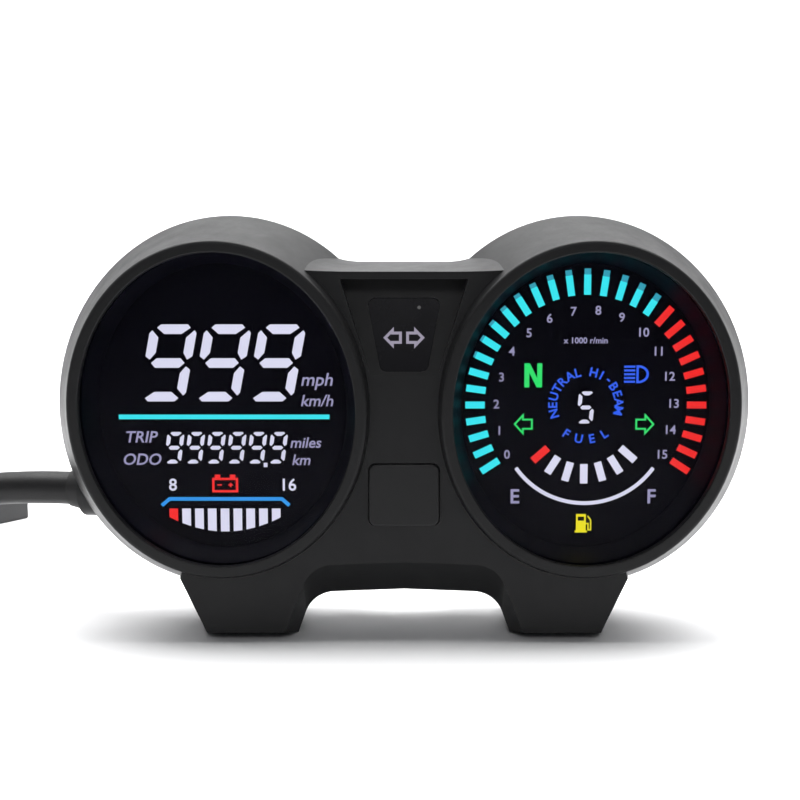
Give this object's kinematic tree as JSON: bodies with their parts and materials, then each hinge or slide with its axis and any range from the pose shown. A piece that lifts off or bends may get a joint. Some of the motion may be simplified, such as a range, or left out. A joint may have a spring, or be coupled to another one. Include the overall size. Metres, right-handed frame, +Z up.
{
  "type": "motorcycle instrument cluster",
  "caption": "Twin oval digital dials in hooded black housing, joined by a console with indicator window and mode button, on two feet, with a sleeved cable.",
  "frame": {"origin": "centre of the housing's outline on the plane that the feet stand on", "axes": "+X to the rider's right across both dials, +Y from the dial faces to the rear, +Z up"},
  "size_m": [0.3677, 0.2258, 0.145],
  "materials": {
    "housing_black": "fine-grained moulded ABS",
    "tunnel_black": "matt black",
    "button_black": "fine-grained moulded",
    "seal_rubber": "matt",
    "bush_rubber": "matt",
    "gland_rubber": "satin",
    "clear_lens": "clear polished polycarbonate",
    "smoked_window": "smoked gloss",
    "dial_black": "smoked gloss film",
    "light_box_white": "reflective white",
    "led_cream": "LED package",
    "board_green": "solder mask",
    "chip_black": "epoxy",
    "can_aluminium": "satin",
    "connector_white": "natural nylon",
    "pin_brass": "tinned brass",
    "screw_steel": "zinc plated",
    "zinc_steel": "zinc plated",
    "switch_black": "moulded",
    "plunger_black": "moulded",
    "lead_red": "PVC insulation",
    "loom_sleeve": "satin PVC sleeve"
  },
  "bodies": {
    "housing": {"board_header": "connector_white", "board_screws": "screw_steel", "breather_plugs": "seal_rubber", "button_guide": "housing_black", "button_seal": "seal_rubber", "cable_gland": "gland_rubber", "capacitors": "can_aluminium", "controller": "chip_black", "cover_screws": "screw_steel", "crystal": "can_aluminium", "driver_chips": "chip_black", "front_cover": "housing_black", "housing_seal": "seal_rubber", "indicator_leds": "led_cream", "indicator_light_box": "light_box_white", "indicator_window": "smoked_window", "inner_leads": "lead_red", "left_dial_film": "dial_black", "left_leds": "led_cream", "left_lens": "clear_lens", "left_lens_seal": "seal_rubber", "left_light_box": "light_box_white", "left_tunnel": "tunnel_black", "loom_cable": "loom_sleeve", "loom_plug": "connector_white", "main_board": "board_green", "mount_bushes": "bush_rubber", "mount_sleeves": "zinc_steel", "plug_lock": "connector_white", "plug_pins": "pin_brass", "rear_cover": "housing_black", "regulator": "chip_black", "right_dial_film": "dial_black", "right_leds": "led_cream", "right_lens": "clear_lens", "right_lens_seal": "seal_rubber", "right_light_box": "light_box_white", "right_tunnel": "tunnel_black", "stud_washer": "zinc_steel", "switch_body": "switch_black", "upper_stud": "zinc_steel"},
    "button": {"mode_button": "button_black"},
    "plunger": {"switch_plunger": "plunger_black"}
  },
  "joints": [
    {"name": "mode_button_press", "type": "slide", "parent": "housing", "child": "button", "axis": [0, 1, 0], "range_m": [0, 0.0013], "stiffness_N_per_m": 900, "springref_m": -0.0012},
    {"name": "switch_press", "type": "slide", "parent": "housing", "child": "plunger", "axis": [0, 1, 0], "range_m": [0, 0.0013]}
  ],
  "couplings": [
    {"joint": "switch_press", "follows": "mode_button_press", "ratio": 1}
  ]
}
